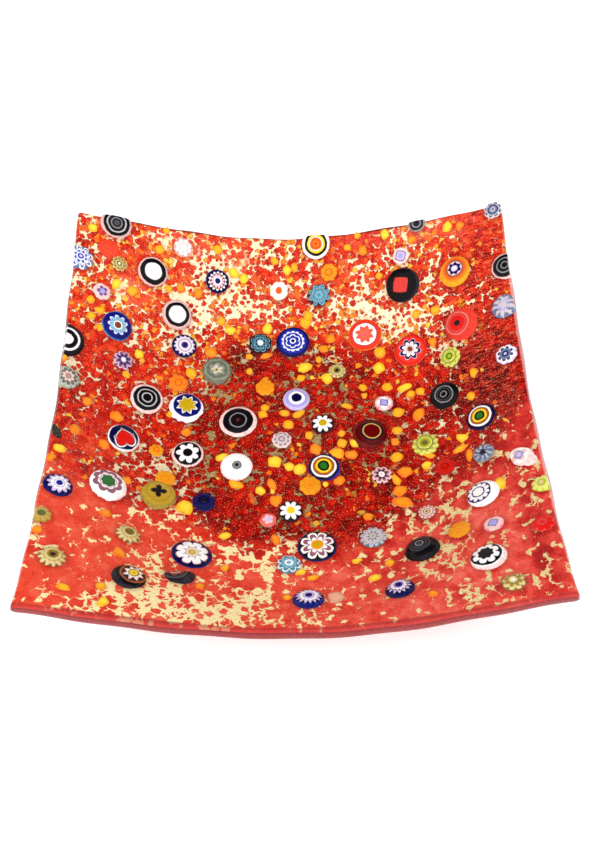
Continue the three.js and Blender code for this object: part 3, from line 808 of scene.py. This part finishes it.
def sheet_piece(name, cells, coarse, levels, lift, material, node, extra=0.0, under=None, fields=None):
    """A closed slab of the stack: a fine upper face, walls through the levels and a coarser underside."""
    share = np.linspace(-1, 1, cells + 1)
    a, b = np.meshgrid(share, share)
    u, v = outline_point(a.ravel(), b.ravel(), levels[-1], extra)
    points = [np.stack([u, v, levels[-1] + lift(u, v)], 1)]
    faces = grid_faces(cells)
    around = border(cells)
    ring = [j * (cells + 1) + i for i, j in around]
    total = len(u)
    ra, rb = share[np.array(around)].T
    for level in reversed(levels[:-1]):
        ru, rv = outline_point(ra, rb, level, extra)
        points.append(np.stack([ru, rv, np.full(len(ru), level)], 1))
        below = list(range(total, total + len(ru)))
        total += len(ru)
        faces += zip(below, below[1:] + below[:1], ring[1:] + ring[:1], ring)
        ring = below
    pace = cells // coarse
    inner = [(i, j) for j in range(1, coarse) for i in range(1, coarse)]
    lu, lv = outline_point(*np.linspace(-1, 1, coarse + 1)[np.array(inner)].T, levels[0], extra)
    low = levels[0] + (under(lu, lv) if under else np.zeros_like(lu))
    points.append(np.stack([lu, lv, low], 1))
    at = dict(zip(around, ring))
    at.update({(i * pace, j * pace): total + k for k, (i, j) in enumerate(inner)})

    def walk(start, end):
        """The points from one corner of a coarse cell towards the next, with all that lie on the border."""
        (i, j), (k, l) = start, end
        on_border = (i == k and i in (0, coarse)) or (j == l and j in (0, coarse))
        return [at[(i * pace + (k - i) * t, j * pace + (l - j) * t)] for t in range(pace if on_border else 1)]

    for i, j in ((i, j) for j in range(coarse) for i in range(coarse)):
        loop = [(i, j), (i, j + 1), (i + 1, j + 1), (i + 1, j)]
        sides = zip(loop, loop[1:] + loop[:1])
        faces.append(tuple(p for here, there in sides for p in walk(here, there)))
    flat = np.vstack(points)
    obj = link(name, slump(flat), faces, "flat", flat, material, node)
    if fields:
        for field, values in fields(flat[:, 0], flat[:, 1]).items():
            store(obj.data, field, values)


def beside(u, v, places, margin):
    """For each place: which points are near, how far behind and how far off its middle, and its radius."""
    for cu, cv, radius in places:
        close = (np.abs(u - cu) < radius + margin) & (np.abs(v - cv) < radius + margin)
        du, dv = u[close] - cu, v[close] - cv
        yield close, dv, np.hypot(du, dv), radius


def near_pieces(u, v):
    """Height of the glass drawn up around each slice and chip, in mm."""
    lift = np.zeros_like(u)
    for places, margin, start, height, reach in ((CANE_PLACES, 4, -0.5, 0.42, 0.9),
                                                 (CHIP_PLACES, 3, -0.6, 0.12, 0.6)):
        for close, _, off, radius in beside(u, v, places, margin):
            away = off - radius
            drawn = np.where(away > start, height * np.exp(-(np.maximum(away, 0) / reach) ** 2), 0)
            lift[close] = np.maximum(lift[close], drawn)
    return lift


def contact_shade(u, v):
    """How dark the glass is right beside a slice or chip, more so on its front side."""
    shade = np.zeros_like(u)
    for places, reach, most in ((CANE_PLACES, 1.3, 1.0), (CHIP_PLACES, 0.8, 0.6)):
        for close, dv, off, radius in beside(u, v, places, 4):
            front = 0.5 - 0.5 * dv / np.maximum(off, 1e-6)
            near = np.exp(-(np.maximum(off - radius, 0) / reach) ** 2)
            shade[close] = np.maximum(shade[close], most * (0.35 + 0.65 * front) * near)
    return shade


def frit_lift(u, v):
    grain = 1 - np.clip(granules(u, v, 2.6, 11), 0, 1)
    fine = 1 - np.clip(granules(u, v, 1.5, 12), 0, 1)
    slow = value_noise(u, v, 9, 13) - 0.5
    strength = 1 - 0.55 * np.clip((-v - 20) / 30, 0, 1)  # smoother at the front
    edge = np.clip((HALF - np.maximum(np.abs(u), np.abs(v)) - 1.2) / 2.5, 0, 1)
    return (strength * (0.24 * grain + 0.08 * fine) + 0.24 * slow - 0.1) * edge + near_pieces(u, v) * edge


# Patches of the frit: middle, reach across and back, and strength.
# Where the leaf shows more between the granules.
OPEN_PATCHES = rows("""
-48 -84 14 12 0.8; -28 -92 14 8 0.8; -60 -88 8 10 0.5; -55 -68 5 10 0.6; -64 -45 9 7 0.25; -30 -58 10 8 0.2;
-20 -84 9 9 0.6; -10 -72 9 12 0.45; -20 -55 12 6 0.5; -76 -95 10 5 0.5; -62 -16 18 9 0.5; -57 -36 14 5 0.2;
8 -92 9 6 0.7; 3 -62 8 4 0.5; 53 -46 10 5 0.4; 62 -44 6 9 0.3; 60 -66 9 8 0.5; 66 -92 4 8 0.7;
78 -84 8 5 0.4; 60 -32 9 6 0.25; 52 -68 5 9 0.4; 88 -88 7 4 0.35; -20 -18 8 4 0.6; -2 -8 6 8 0.4;
35 63 14 9 0.5; 52 56 13 6 0.6; 32 78 5 10 0.5; 66 66 7 7 0.35; 52 84 16 6 0.25; 44 50 10 6 0.4;
66 39 9 5 0.9; -46 66 10 8 0.8; -38 84 9 7 0.7; -50 52 7 5 0.9; -28 76 12 8 0.5; -24 66 10 6 0.6;
-8 66 8 5 0.6; -62 94 12 5 0.5; -70 52 6 8 0.4; -96 26 4 10 0.5; -34 58 6 8 0.4; 14 62 8 6 0.3;
-12 92 10 5 0.3; -30 30 12 9 0.5; 10 28 9 7 0.4; -62 72 7 4 0.3; 80 84 8 4 0.3; 84 60 5 12 0.25""")
# Where a smooth salmon haze lies over the granules, apart from the front: partly the glass's own colour,
# partly painted reflection.
SHEEN_HAZE_PATCHES = rows("""
-74 68 9 6 0.8; -52 92 12 7 0.5; -90 94 9 7 0.35; -26 92 10 7 0.6; -20 68 12 6 0.3; 88 92 14 8 0.4;
60 96 16 5 0.5; 38 96 12 4 0.3; 92 72 7 10 0.05""")
# Where the glass is a deeper (positive) or brighter red.
DEEP_PATCHES = rows("""
45 -22 26 16 0.1; 20 -12 22 20 0.05; 84 8 20 26 0.24; 64 14 14 16 0.12; -20 44 16 9 0.16; 30 40 14 8 0.1;
-32 -36 14 10 0.06; -50 30 14 16 -0.2; -84 -6 12 10 -0.14; -72 60 14 10 -0.1; 88 78 14 20 0.08;
80 16 16 14 0.06; -8 -46 18 6 0.12; 35 -40 14 6 0.08; 92 -72 5 26 0.25; 76 -22 20 8 0.14; 20 -54 20 7 0.12;
45 -40 16 7 0.1; -20 -54 14 5 0.1; -60 -40 20 6 0.06; -86 36 16 18 -0.1; -92 92 10 8 0.14; 20 95 20 6 0.06""")
# Where more granules are orange.
ORANGE_PATCHES = rows("""
40 56 22 10 0.32; -30 74 16 14 0.18; -66 86 14 8 0.12; 20 66 16 8 0.2; 55 86 16 8 0.16; -50 40 16 10 0.18;
28 34 18 8 0.12; -70 66 14 6 0.16; -4 56 12 6 0.14; 10 -14 12 8 0.1; 76 84 14 8 0.1""")
# How far in front of the middle the smooth salmon glass starts, across the sheet.
FRONT_U = [-100, -85, -60, -40, -25, 0, 25, 40, 50, 60, 75, 90, 100]
FRONT_START = [20, 26, 34, 40, 48, 52, 46, 40, 32, 26, 18, 4, -6]


def patchwork(u, v, patches):
    return sum(strength * np.exp(-((u - cu) / ru) ** 2 - ((v - cv) / rv) ** 2)
               for cu, cv, ru, rv, strength in patches)


def frit_fields(u, v):
    """Slowly changing properties of the frit, up to three to an attribute.

    frit_a: how open it is, its salmon haze (partly the glass's own colour, partly painted reflection) and how
    deep. frit_b: how orange, how bright its leaf is by painted reflection, and how striped. frit_c: painted
    shade.
    """
    slow = value_noise(u, v, 24, 41) - 0.5
    mid = value_noise(u, v, 10, 42) - 0.5
    quick = value_noise(u, v, 5, 43) - 0.5
    ragged = 9 * slow + 7 * mid + 4 * quick
    front = soft_step(-v - np.interp(u, FRONT_U, FRONT_START) + ragged, -5, 9)
    back = soft_step(v + 0.7 * ragged, 36, 56)
    centre = 1 - soft_step(np.hypot(u, v) + ragged, 44, 56)
    side = (1 - centre) * (1 - back) * (1 - front)
    right_wall = soft_step(u - 0.22 * np.abs(v - 52) + ragged, 60, 76) * soft_step(v, -12, 20)
    openness = 0.30 * centre + 0.32 * back + 0.2 * front + 0.26 * side - 0.22 * right_wall
    openness += 0.30 * mid + 0.16 * slow + 0.18 * quick
    openness += 0.75 * patchwork(u, v, OPEN_PATCHES)
    # salmon haze: partly the glass's own colour, partly painted reflection
    sheen_haze = np.clip(front + patchwork(u, v, SHEEN_HAZE_PATCHES) * (1 + 1.2 * mid + 1.4 * quick), 0, 1)
    deep = 0.66 * centre + 0.36 * back + 0.5 * side + 0.45 * front + 0.08 * right_wall
    deep += patchwork(u, v, DEEP_PATCHES) + 0.12 * mid + 0.1 * slow
    orange = (0.05 + 0.17 * back + patchwork(u, v, ORANGE_PATCHES) * 1.1) * (1 - 0.6 * right_wall)
    # painted reflection: how bright the leaf between the granules shows, low in the middle
    leaf_reflection = np.clip(back + 0.7 * side + front, 0, 1)
    return {"frit_a": np.stack([np.clip(openness, 0, 0.85), sheen_haze, np.clip(deep, 0, 1)], 1),
            "frit_b": np.stack([np.clip(orange, 0, 0.6), leaf_reflection, np.clip(right_wall, 0, 1)], 1),
            "frit_c": np.outer(contact_shade(u, v), (1, 0, 0))}


def frit_material():
    material, net, shader = new_material("glass_frit")
    flat = net.attribute("flat")
    u, v, _ = net.split(flat)
    openness, sheen_haze, deep = net.split(net.attribute("frit_a"))
    orange, leaf_reflection, striped = net.split(net.attribute("frit_b"))

    plan = net.vector("MULTIPLY", flat, (1, 1, 0))
    wander, shiver = net.shake(plan, 0.42, 2.0, 0.6), net.shake(plan, 1.5, 2.0, 0.6)
    bent = net.moved(net.moved(plan, wander, 2.4), shiver, 0.7)
    cloud = net.noise(plan, 0.16, 3.0, 0.6)
    fine = net.noise(plan, 1.3, 3.0, 0.65)

    # granules: round grains that run together where they lie thick, with the leaf bare where they lie thin
    away, tone = net.voronoi(bent, 0.46), net.cell_tones(net.voronoi(bent, 0.46, out=1))
    seam = net.voronoi(bent, 0.46, "DISTANCE_TO_EDGE")
    limit = net.math("MULTIPLY_ADD", openness, -0.62, 0.98)
    limit = net.nudge(net.nudge(limit, tone[2], 0.22), fine, 0.24)
    bare = net.step_at(away, limit, -0.05, 0.05)
    # painted shade: each granule darker towards its rounded edge
    rim_shade = net.step_at(away, limit, -0.3, -0.04)

    # at the front the grains have run together into larger, smoother ones
    wide = net.moved(net.moved(plan, wander, 3.4), shiver, 0.55)
    wide = net.vector("MULTIPLY", wide, (1.0, 0.85, 1.0))
    large = net.cell_tones(net.voronoi(wide, 0.27, out=1))
    joint = net.voronoi(wide, 0.27, "DISTANCE_TO_EDGE")
    gap = net.math("MULTIPLY_ADD", openness, 0.40, -0.17)
    gap = net.nudge(gap, net.voronoi(wide, 0.27), 0.45, 0.6)
    gap = net.nudge(gap, net.noise(plan, 0.17), 0.55)
    gap = net.nudge(net.nudge(gap, large[2], 0.1), fine, 0.08)
    gap = net.minus(gap, 0.025)
    blot = net.math("MULTIPLY_ADD", openness, 0.17, net.noise(wide, 0.26, 1.0, 0.4))
    bare_front = net.math("MAXIMUM", net.step_at(joint, gap, 0.035, -0.035), net.step(blot, 0.675, 0.7))
    bare = net.add("ShaderNodeMix", {0: net.step(sheen_haze, 0.35, 0.6), 2: bare, 3: bare_front}, out=0)

    depth = net.nudge(net.nudge(net.nudge(deep, tone[0], 0.42), cloud, 0.5), fine, -0.55)
    reds = net.ramp(depth, tones("0 238 112 66; 0.18 230 72 28; 0.36 216 38 10;"
                                 "0.56 188 16 4; 0.76 148 6 2; 1 92 2 1"))
    ambers = net.ramp(tone[0], tones("0 206 92 30; 0.35 236 116 20; 0.65 246 158 32; 1 252 208 74"))
    is_amber = net.step(net.minus(tone[1], net.minus(1.0, orange)), -0.01, 0.01)
    colour = net.mix(net.times(is_amber, net.step(seam, 0.02, 0.12)), reds, ambers)
    # painted shade on the granule edges
    colour = net.darken(net.times(rim_shade, 0.6), colour, rgb(150, 70, 40))
    pale = net.nudge(net.nudge(net.nudge(cloud, fine, 0.5), large[0], 0.22), deep, -1.4, 0.45)
    left = net.ramp(pale, tones("0.1 188 22 12; 0.3 222 50 30; 0.55 240 78 52; 0.8 246 110 82"))
    right = net.ramp(pale, tones("0.1 164 16 16; 0.3 204 42 36; 0.55 232 78 64; 0.8 242 116 100"))
    # salmon haze over the granules: partly the glass's own salmon, partly painted reflection
    colour = net.mix(net.times(sheen_haze, 0.88), colour, net.mix(net.step(u, -30.0, 60.0), left, right))

    # horizontal stripes of the steep right wall
    lines = net.noise(net.vector("MULTIPLY", bent, (0.28, 1.6, 1.0)), 0.8, 2.0, 0.6)
    light, dark = net.step(lines, 0.52, 0.64), net.step(lines, 0.47, 0.36)
    colour = net.mix(net.times(light, net.times(striped, 0.7)), colour, rgb(236, 84, 56))
    colour = net.darken(net.times(dark, net.times(striped, 0.8)), colour, rgb(110, 4, 4))

    # leaf, its brightness painted reflection: dull in the middle, cream at the back, yellower and at the
    # right darker at the front
    dark_reflection_leaf = net.ramp(fine, tones("0.3 98 74 44; 0.5 152 128 82; 0.7 206 186 140"))
    back_leaf = net.ramp(fine, tones("0.25 222 170 104; 0.42 248 220 166; 0.62 255 248 228"))
    front_leaf = net.ramp(fine, tones("0.28 206 178 110; 0.44 248 226 160; 0.72 254 243 198"))
    darker = net.times(net.step(u, 10.0, 70.0), net.step(fine, 0.66, 0.4, 0.2, 0.9))
    front_leaf = net.mix(darker, front_leaf, rgb(204, 178, 116))
    leaf = net.mix(leaf_reflection, dark_reflection_leaf, net.mix(sheen_haze, back_leaf, front_leaf))
    colour = net.mix(bare, colour, leaf)

    # painted shade beside each piece, pale specks that are painted glints, and dark dust
    contact = net.split(net.attribute("frit_c"))[0]
    colour = net.darken(net.times(contact, 0.45), colour, rgb(130, 50, 34))
    # painted glints: small pale specks
    glint_speck = net.step(net.noise(plan, 2.3, 1.0), 0.66, 0.73)
    colour = net.mix(net.times(glint_speck, net.step(sheen_haze, 0.5, 0.9, 0.8, 0.25)), colour, rgb(255, 222, 170))
    dust = net.times(net.step(net.voronoi(plan, 1.7), 0.26, 0.1), net.step(sheen_haze, 0.7, 0.2, 0.25, 1.0))
    colour = net.darken(net.times(dust, 0.38), colour, rgb(120, 44, 26))

    # rim: thin paler glass at the right, a darker line at the front and at the back
    colour = net.mix(net.step(u, 98.7, 99.6, 0.0, 0.6), colour, rgb(236, 176, 170))
    colour = net.mix(net.step(net.times(v, -1.0), 97.4, 98.4, 0.0, 0.8), colour, rgb(164, 46, 46))
    colour = net.mix(net.step(v, 98.4, 99.1, 0.0, 0.8), colour, rgb(96, 24, 18))
    bump = net.plus(net.times(net.step(seam, 0.0, 0.4), 0.8), net.times(fine, 0.6))
    finish_glass(net, shader, colour, 0.16, 0.15, bump, 0.5, 0.00028)
    return material


def plate_material():
    material, net, shader = new_material("glass_plate")
    flat = net.attribute("flat")
    u, v, w = net.split(flat)
    grain = net.noise(flat, 1.1, 3.0, 0.65)
    colour = net.ramp(net.noise(flat, 0.12, 3.0, 0.6), tones("0.3 150 30 32; 0.5 178 44 44; 0.75 200 66 60"))
    side = net.step(net.math("MAXIMUM", net.math("ABSOLUTE", u), net.math("ABSOLUTE", v)), 97.6, 98.8)
    colour = net.mix(side, colour, net.ramp(grain, tones("0.3 108 14 16; 0.6 136 26 27; 0.8 160 50 44")))
    line = net.times(net.step(w, 2.2, 2.8), side)
    colour = net.mix(net.times(line, 0.6), colour, rgb(120, 26, 30))
    colour = net.mix(net.step(u, 98.0, 99.2, 0.0, 0.5), colour, rgb(232, 168, 160))
    colour = net.mix(net.step(net.voronoi(flat, 0.5), 0.14, 0.07, 0.0, 0.6), colour, rgb(90, 20, 24))
    finish_glass(net, shader, colour, 0.22, 0.5, grain)
    return material


def leaf_material():
    material, net, shader = new_material("gold_leaf")
    flat = net.attribute("flat")
    crease = net.voronoi(flat, 0.2, "DISTANCE_TO_EDGE")
    cloud = net.noise(flat, 0.3, 4.0, 0.6)
    colour = net.ramp(cloud, tones("0.3 176 142 70; 0.55 220 188 108; 0.8 246 226 160"))
    colour = net.mix(net.step(crease, 0.08, 0.0, 0.0, 0.6), colour, rgb(130, 96, 44))
    finish(net, shader, {"Base Color": colour, "Metallic": 0.9, "Roughness": 0.32}, cloud, 0.6, 0.0003)
    return material


def leaf_lift(u, v):
    return 0.05 * (value_noise(u, v, 3, 31) - 0.5)


def plate_under(u, v):
    """Faint texture that the kiln shelf leaves on the underside, none of it where the bowl stands."""
    return 0.12 * value_noise(u, v, 6, 21) * np.clip((np.hypot(u, v) - 30) / 20, 0, 1)


FRIT_CELLS = 300
sheet_piece("plate_glass", 120, 60, [0.0, 0.12, 0.4, 0.9, 1.6, 2.2, 2.6, LEAF_LEVEL], lambda u, v: 0 * u,
            plate_material(), "base_plate", under=plate_under)
sheet_piece("leaf_sheet", 60, 30, [LEAF_LEVEL - 0.06, LEAF_LEVEL + 0.04], leaf_lift, leaf_material(),
            "metal_leaf", extra=1.2)
sheet_piece("frit_skin", FRIT_CELLS, 30, [LEAF_LEVEL, 3.3, 3.65, 3.88, TOP], frit_lift, frit_material(),
            "red_frit_layer", fields=frit_fields)


# --- Floor, light and camera, in metres.
FLOOR_HALF = 1.6
FLOOR_CELLS = 60
FLOOR_LEVEL = -0.0003


def build_floor():
    share = np.linspace(-FLOOR_HALF, FLOOR_HALF, FLOOR_CELLS + 1)
    a, b = np.meshgrid(share, share)
    material, net, shader = new_material("floor_paper")
    place = net.add("ShaderNodeTexCoord", out=3)
    paper = [(0.3, (0.92, 0.92, 0.92, 1)), (0.7, (0.95, 0.95, 0.95, 1))]
    colour = net.ramp(net.noise(place, 40.0, 3.0), paper)
    # painted light: the floor glows a little, lifting the shadow and pink bounce around the bowl and lighting
    # its underside
    finish(net, shader, {"Base Color": colour, "Roughness": 0.6, "Emission Color": (1.0, 0.985, 0.95, 1.0),
                         "Emission Strength": 0.38})
    verts = np.stack([a.ravel(), b.ravel(), np.full(a.size, FLOOR_LEVEL)], 1)
    new_object("floor", verts, grid_faces(FLOOR_CELLS), material)


def build_world():
    world = bpy.data.worlds.new("studio")
    bpy.context.scene.world = world
    world.use_nodes = True
    world.node_tree.nodes.clear()
    net = Net(world.node_tree)
    _, y, z = net.split(net.add("ShaderNodeTexCoord", out=0))
    height = net.math("ABSOLUTE", z)
    # on the far side of the bowl the sky between the horizon and the zenith is dimmer
    band = net.times(net.step(height, 0.36, 0.6), net.step(height, 0.985, 0.9))
    dim = net.times(band, net.step(y, 0.0, 0.3))
    level = net.minus(1.0, net.times(dim, 0.95))
    background = net.add("ShaderNodeBackground", {"Color": (1, 1, 1, 1), "Strength": net.times(level, 0.92)})
    net.add("ShaderNodeOutputWorld", {0: background}, out=None)


def area_light(name, place, target, size, energy):
    data = bpy.data.lights.new(name, "AREA")
    data.shape = "DISK"
    data.size = size
    data.energy = energy
    obj = bpy.data.objects.new(name, data)
    bpy.context.scene.collection.objects.link(obj)
    obj.location = place
    obj.rotation_euler = (Vector(target) - Vector(place)).to_track_quat("-Z", "Y").to_euler()
    obj.visible_camera = False
    obj.visible_glossy = False


def build_camera():
    """The photo's view, from fitting the outline of the bowl."""
    target = Vector((2.674, -25.165, 49.53)) * MM
    elevation, distance, roll = math.radians(55.583), 331.085 * MM, math.radians(1.114)
    right = Vector((1, 0, 0))
    back = Vector((0, -math.cos(elevation), math.sin(elevation)))
    up = back.cross(right)
    side = right * math.cos(roll) - up * math.sin(roll)
    top = right * math.sin(roll) + up * math.cos(roll)
    data = bpy.data.cameras.new("camera")
    data.sensor_width = 36
    data.lens = 38.8092182
    data.clip_start = 0.01
    obj = bpy.data.objects.new("camera", data)
    bpy.context.scene.collection.objects.link(obj)
    obj.matrix_world = Matrix([*zip(side, top, back, target + back * distance), (0, 0, 0, 1)])
    bpy.context.scene.camera = obj


build_floor()
build_world()
area_light("key_light", (-0.35, -0.25, 0.9), (0, 0, 0.01), 0.5, 4.0)
area_light("front_light", (0.0, -0.75, 0.22), (0, -0.1, 0.0), 0.5, 2.4)
area_light("fill_light", (0.5, 0.3, 0.8), (0, 0, 0.01), 0.6, 1.8)
build_camera()
bpy.context.scene.view_settings.view_transform = "Standard"
bpy.context.scene.view_settings.look = "None"
